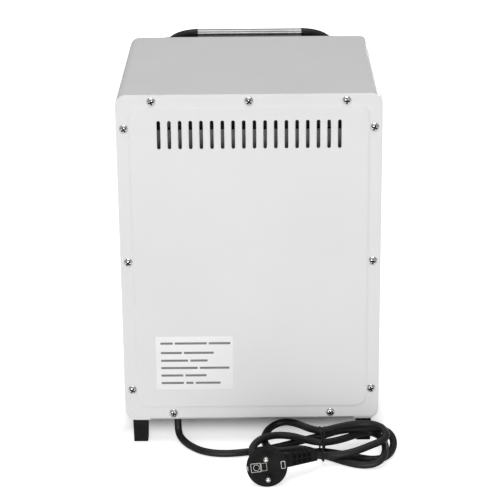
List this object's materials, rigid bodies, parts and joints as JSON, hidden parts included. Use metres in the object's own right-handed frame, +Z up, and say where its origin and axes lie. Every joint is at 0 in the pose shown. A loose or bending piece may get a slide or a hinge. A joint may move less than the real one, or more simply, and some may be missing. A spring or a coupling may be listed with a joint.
{
  "type": "dry heat sterilizer",
  "caption": "Small upright dry heat sterilizer: painted steel cabinet with a vented, screwed back panel, a drop-down glass door with a bar handle, dial controls, feet and a tied mains cord",
  "frame": {"origin": "on the floor, under the middle of the cabinet with its handle and back screws", "axes": "+Z up, -Y is the front with the door, +Y is the screwed back panel, +X is the side the mains cord leaves on"},
  "size_m": [0.2686, 0.4001, 0.358],
  "materials": {
    "casing_paint": "light grey powder coat, satin",
    "bright_screw": "plated, cross recess",
    "plated_steel": "zinc plated",
    "black_rubber": "matt",
    "cord_rubber": "satin",
    "plug_plastic": "fine grain",
    "tie_plastic": "smooth",
    "nickel": "nickel plated",
    "stainless": "brushed",
    "shelf_wire": "plated wire",
    "bar_steel": "polished tube",
    "black_plastic": "satin",
    "door_paint": "black, satin",
    "window_glass": "clear",
    "seal_silicone": "matt",
    "fascia_film": "satin film",
    "wool": "mineral wool",
    "heater_sheath": "heat darkened",
    "ceramic": "glazed ceramic look",
    "control_housing": "moulded",
    "lamp_red": "clear red"
  },
  "bodies": {
    "cabinet": {"casing_wrap": "casing_paint", "back_panel": "casing_paint", "front_frame": "casing_paint", "back_panel_screws": "bright_screw", "base_pan": "plated_steel", "base_pan_screws": "plated_steel", "rear_heat_shield": "plated_steel", "control_nuts": "plated_steel", "foot_screws": "plated_steel", "hinge_bracket_screws": "plated_steel", "door_magnet": "plated_steel", "foot_front_left": "black_rubber", "foot_front_right": "black_rubber", "foot_rear_left": "black_rubber", "foot_rear_right": "black_rubber", "power_cord_lead": "cord_rubber", "power_cord_hank": "cord_rubber", "cord_bush": "cord_rubber", "plug_body": "plug_plastic", "cord_tie": "tie_plastic", "plug_pins": "nickel", "plug_earth_contacts": "nickel", "chamber_liner": "stainless", "instrument_tray": "stainless", "hinge_pin_left": "stainless", "hinge_pin_right": "stainless", "lower_shelf": "shelf_wire", "upper_shelf": "shelf_wire", "hinge_bracket_left": "black_plastic", "hinge_bracket_right": "black_plastic", "control_fascia": "fascia_film", "insulation_jacket": "wool", "lower_heater": "heater_sheath", "upper_heater": "heater_sheath", "heater_bushes": "ceramic", "terminal_block": "ceramic", "thermostat_body": "ceramic", "timer_body": "control_housing", "lamp_holder": "control_housing", "lamp_lens": "lamp_red"},
    "door": {"door_frame": "door_paint", "door_glass": "window_glass", "door_inner_panel": "stainless", "door_inner_screws": "plated_steel", "door_seal": "seal_silicone", "handle_bar": "bar_steel", "handle_elbow_left": "black_plastic", "handle_elbow_right": "black_plastic", "handle_screws": "plated_steel"},
    "temperature_dial": {"temperature_knob": "black_plastic", "thermostat_shaft": "stainless"},
    "timer_dial": {"timer_knob": "black_plastic", "timer_shaft": "stainless"}
  },
  "joints": [
    {"name": "door_hinge", "type": "hinge", "parent": "cabinet", "child": "door", "pos_m": [0, -0.10147, 0.1147], "axis": [1, 0, 0], "range_deg": [0, 90]},
    {"name": "temperature_dial_turn", "type": "hinge", "parent": "cabinet", "child": "temperature_dial", "pos_m": [-0.058, -0.09448, 0.066], "axis": [0, 1, 0], "range_deg": [0, 270]},
    {"name": "timer_dial_turn", "type": "hinge", "parent": "cabinet", "child": "timer_dial", "pos_m": [0.058, -0.09448, 0.066], "axis": [0, 1, 0], "range_deg": [0, 300]}
  ]
}
